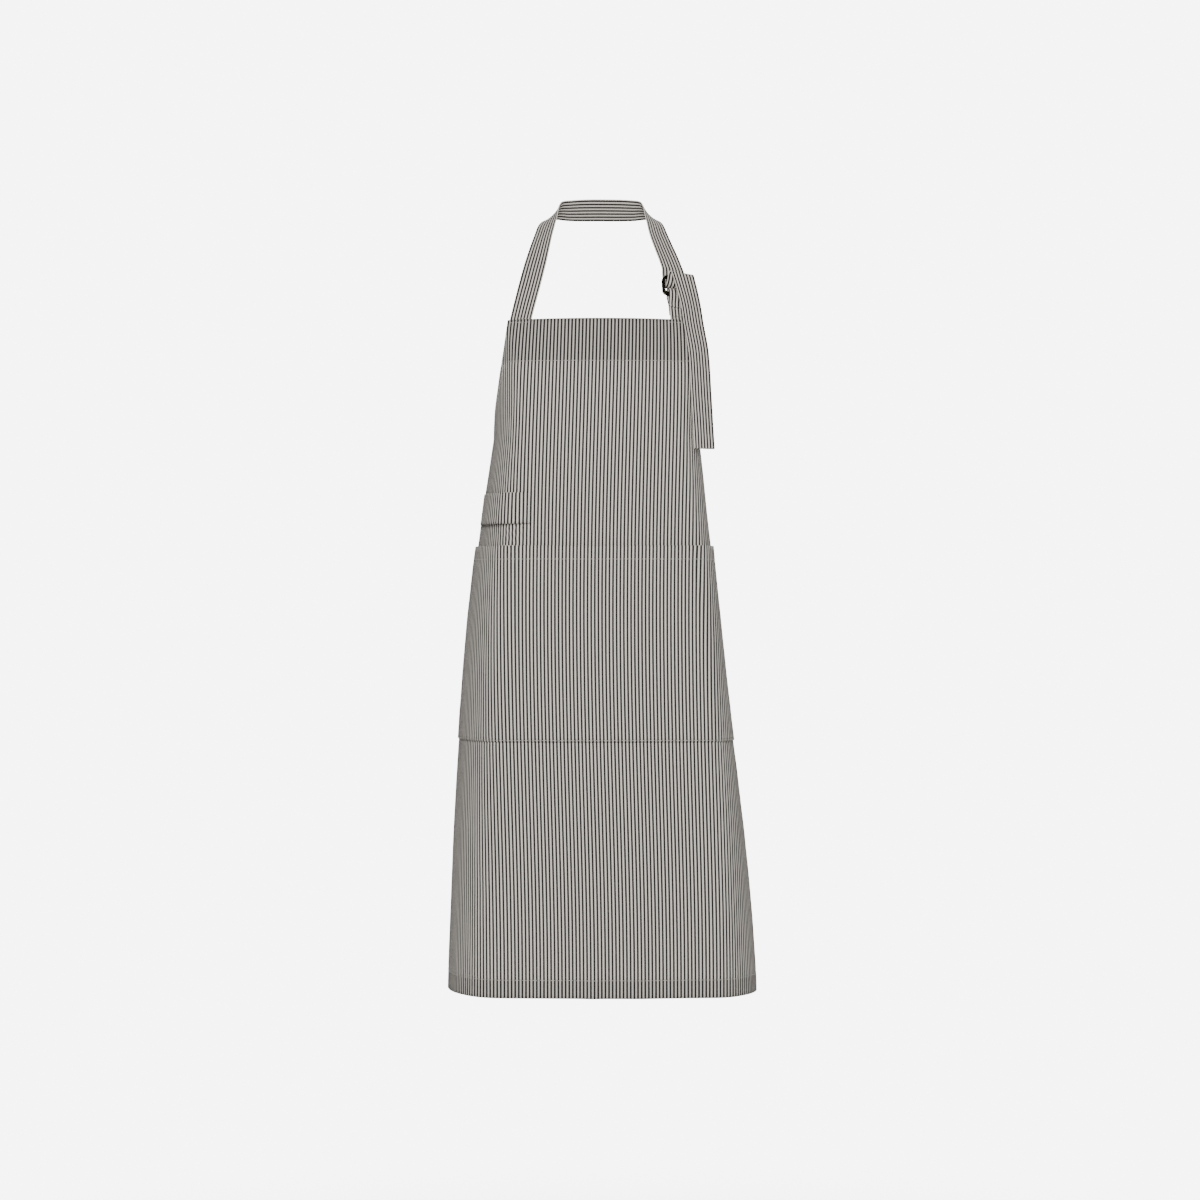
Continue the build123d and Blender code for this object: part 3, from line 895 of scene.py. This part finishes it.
def make_waist_ties():
    """Ties from the side edges to the knot, gathered where they enter it."""
    for side, word in ((-1, "left"), (1, "right")):
        edges = []
        for up in (0, TIE_WIDTH):
            height = WAIST_HEIGHT - TIE_BELOW_WAIST + up
            edge = [drape(side * across, height, SEWN_INSIDE - sunk) for across, sunk in TIE_SEWN]
            above_knot = height - HEM_DROP - KNOT.z
            for beside, in_front, kept in TIE_INTO_KNOT:
                edge.append(KNOT + Vector((side * beside, -in_front, kept * above_knot)))
            edges.append(smooth_line(edge, 8))
        tie = strap_piece(f"waist_tie_cloth_{word}", *edges, width=TIE_WIDTH, crown=0.001)
        dress(tie, APRON, "ticking_cloth", plain_cloth, f"waist_tie_{word}")


def rounded(value, power=0.8):
    """Squarer version of a sine or cosine."""
    return copysign(abs(value) ** power, value)


def make_knot():
    """Knot of gathered tie, with the folds of its wraps."""
    size = KNOT_HIGH - KNOT_LOW
    rows, columns = 28, 40
    vertices = []
    flats = []
    for row in range(rows):
        tilt = pi * (row + 0.5) / rows
        for column in range(columns):
            turn = 2 * pi * column / columns
            pleat = 1 + 0.05 * sin(turn * 7 + tilt * 3) * sin(tilt) + 0.04 * sin(tilt * 9 + 1.2)
            radial = sin(tilt) ** 0.7 * pleat
            x = size.x * 0.47 * radial * rounded(cos(turn))
            y = size.y * 0.46 * radial * rounded(sin(turn))
            # a little flatter at its two sides, where the ties enter
            z = size.z * 0.47 * cos(tilt) * (1 - 0.12 * cos(turn) ** 2)
            vertices.append(KNOT + Vector((x, y, z)))
            flats.append((x, tilt * size.z / 2))
    faces = [
        (row * columns + column, (row + 1) * columns + column,
         (row + 1) * columns + (column + 1) % columns, row * columns + (column + 1) % columns)
        for row in range(rows - 1) for column in range(columns)
    ]
    faces.append(tuple(range(columns)))
    faces.append(tuple(reversed(range((rows - 1) * columns, rows * columns))))
    knot = new_object("tie_knot_cloth", vertices, faces, flats)
    finer = knot.modifiers.new("finer", "SUBSURF")
    finer.levels = finer.render_levels = 1
    dress(knot, APRON, "ticking_cloth", plain_cloth, "tie_knot")


# Bow loop seen from behind: share of its reach, share of its drop, and how far it is opened out
BOW_LINE = [
    (0.00, 0.16, 0.45), (0.22, 0.05, 0.8), (0.50, 0.05, 1.0), (0.80, 0.26, 1.0), (0.96, 0.62, 1.0),
    (0.84, 0.90, 1.0), (0.60, 0.95, 1.0), (0.34, 0.68, 0.9), (0.14, 0.42, 0.7), (0.00, 0.27, 0.45),
]


def make_bow_loop(side, word):
    """Teardrop loop of tie, gathered at the knot."""
    low, high = (Vector(corner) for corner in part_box(f"bow_loop_{word}"))
    near, far = (low.x, high.x) if side > 0 else (high.x, low.x)
    edges = []
    for face in (-1, 1):
        line = []
        for reach, drop, opened in BOW_LINE:
            x = near + (far - near) * reach
            y = (low.y + high.y) / 2 + face * opened * BOW_WIDTH / 2
            z = high.z - (high.z - low.z) * drop
            line.append(Vector((x, y, z)))
        edges.append(smooth_line(line, 6))
    loop = strap_piece(f"bow_loop_cloth_{word}", *edges, width=BOW_WIDTH, crown=-0.001 * side)
    dress(loop, f"bow_loop_{word}", "ticking_cloth", plain_cloth, f"bow_loop_{word}")


def make_tie_end(side, word):
    """Free end of one tie, gathered at the knot and cut on a slant."""
    low, high = (Vector(corner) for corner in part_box(f"tie_end_{word}"))
    span = high.z - low.z
    edges = []
    for face in (-1, 1):
        line = []
        for share in spread(0, 1, 9):
            opened = 0.55 + 0.45 * min(share * 4, 1)
            swerve = END_OUT + 0.014 * share + 0.006 * share ** 2
            twist = face * 0.003 * sin(2.2 * pi * share + side)
            slant = face * side * END_SLANT if share == 1 else 0
            x = KNOT.x + side * swerve + face * opened * END_WIDTH / 2
            y = (low.y + high.y) / 2 + 0.0025 * sin(2 * pi * share) + twist
            line.append(Vector((x, y, high.z - span * share + slant)))
        edges.append(smooth_line(line, 5))
    end = strap_piece(f"tie_end_cloth_{word}", *edges, width=END_WIDTH, crown=0.0008)
    dress(end, f"tie_end_{word}", "ticking_cloth", plain_cloth, f"tie_end_{word}")


# ---------------------------------------------------------------- stage

CAMERA_DISTANCE = 3.5      # from the front of the skirt
CAMERA_LEVEL = -0.526
CAMERA_SENSOR = 36
CAMERA_LENS = 82.0
SURROUNDINGS = 0.16        # light that the surroundings give
BACKDROP = 7.0             # their glow where they are seen directly
FLOOR_REACH = 4
FLOOR_BELOW_HEM = 0.9
AIM = Vector((0, -0.1, -0.5))
# Square area lamps aimed at the apron, as (name, place, side, watts)
LAMPS = (
    ("key", (-0.3, -3.6, 1.3), 2.0, 134),
    ("fill", (0.5, -3.4, -0.4), 2.0, 20),
    ("back", (0.4, 2.6, 1.2), 2.4, 90),
)


def make_world():
    """Even pale surroundings whose glow seen directly is brighter than the light that they give."""
    world = bpy.data.worlds.new("studio")
    world.use_nodes = True
    tree = world.node_tree
    backdrop = tree.nodes["Background"]
    surroundings = tree.nodes.new("ShaderNodeBackground")
    for node, strength in ((surroundings, SURROUNDINGS), (backdrop, BACKDROP)):
        node.inputs["Color"].default_value = (1, 1, 1, 1)
        node.inputs["Strength"].default_value = strength
    seen = tree.nodes.new("ShaderNodeLightPath")
    blend = tree.nodes.new("ShaderNodeMixShader")
    tree.links.new(seen.outputs["Is Camera Ray"], blend.inputs[0])
    tree.links.new(surroundings.outputs[0], blend.inputs[1])
    tree.links.new(backdrop.outputs[0], blend.inputs[2])
    tree.links.new(blend.outputs[0], tree.nodes["World Output"].inputs["Surface"])
    bpy.context.scene.world = world


def make_stage():
    """Level camera at the apron's middle height, broad soft lights and a pale floor."""
    camera = bpy.data.objects.new("camera", bpy.data.cameras.new("camera"))
    camera.data.sensor_width = CAMERA_SENSOR
    camera.data.lens = CAMERA_LENS
    camera.location = (0, -FRONT_DEPTH - CAMERA_DISTANCE, CAMERA_LEVEL)
    camera.rotation_euler = (pi / 2, 0, 0)
    bpy.context.scene.collection.objects.link(camera)
    bpy.context.scene.camera = camera

    for name, place, size, power in LAMPS:
        lamp = bpy.data.lights.new(name, "AREA")
        lamp.size = size
        lamp.energy = power
        light = bpy.data.objects.new(name, lamp)
        light.location = place
        light.rotation_euler = (AIM - Vector(place)).to_track_quat("-Z", "Y").to_euler()
        bpy.context.scene.collection.objects.link(light)

    make_world()
    corners = [(x * FLOOR_REACH, y * FLOOR_REACH, 0) for x, y in ((-1, -1), (1, -1), (1, 1), (-1, 1))]
    floor = new_object("floor", corners, [(0, 1, 2, 3)], smooth=False)
    floor.location.z = -HEM_DROP - FLOOR_BELOW_HEM
    floor.data.materials.append(pale_floor())


make_stage()
make_panel()
make_pocket()
make_towel_loop()
make_keeper()
make_rings()
make_neck_strap()
make_strap_tail()
make_stitching()
make_thread_knot()
make_waist_ties()
make_knot()
for bow_side, bow_word in ((-1, "left"), (1, "right")):
    make_bow_loop(bow_side, bow_word)
    make_tie_end(bow_side, bow_word)
